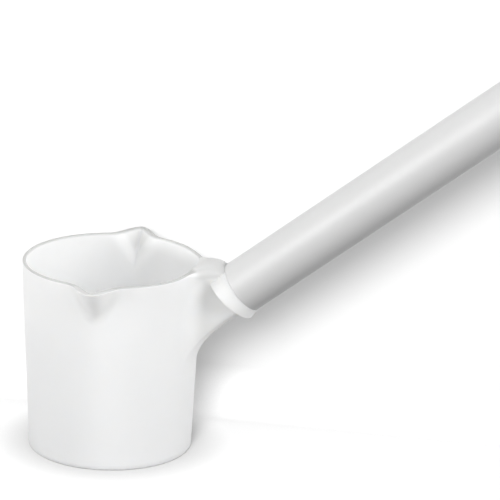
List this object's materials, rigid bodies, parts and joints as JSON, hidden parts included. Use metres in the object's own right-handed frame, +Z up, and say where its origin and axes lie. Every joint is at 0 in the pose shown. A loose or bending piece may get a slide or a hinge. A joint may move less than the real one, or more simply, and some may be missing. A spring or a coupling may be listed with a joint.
{
  "type": "water dipper",
  "caption": "Long-handled plastic water dipper: a tapered bowl with opposed V-shaped pouring lips, an inclined tube handle and a hanging cap.",
  "frame": {"origin": "centre of the bowl's flat underside", "axes": "+Z up along the bowl's axis, the handle leaves towards +X and rises at 38.3 degrees, the pouring lips point along +Y and -Y"},
  "size_m": [0.4806, 0.1452, 0.3828],
  "materials": {
    "bowl_plastic": "matte",
    "tube_plastic": "satin",
    "cap_plastic": "matte"
  },
  "bodies": {
    "root": {"dipper_bowl": "bowl_plastic", "handle_tube": "tube_plastic", "hanging_cap": "cap_plastic"}
  },
  "joints": []
}
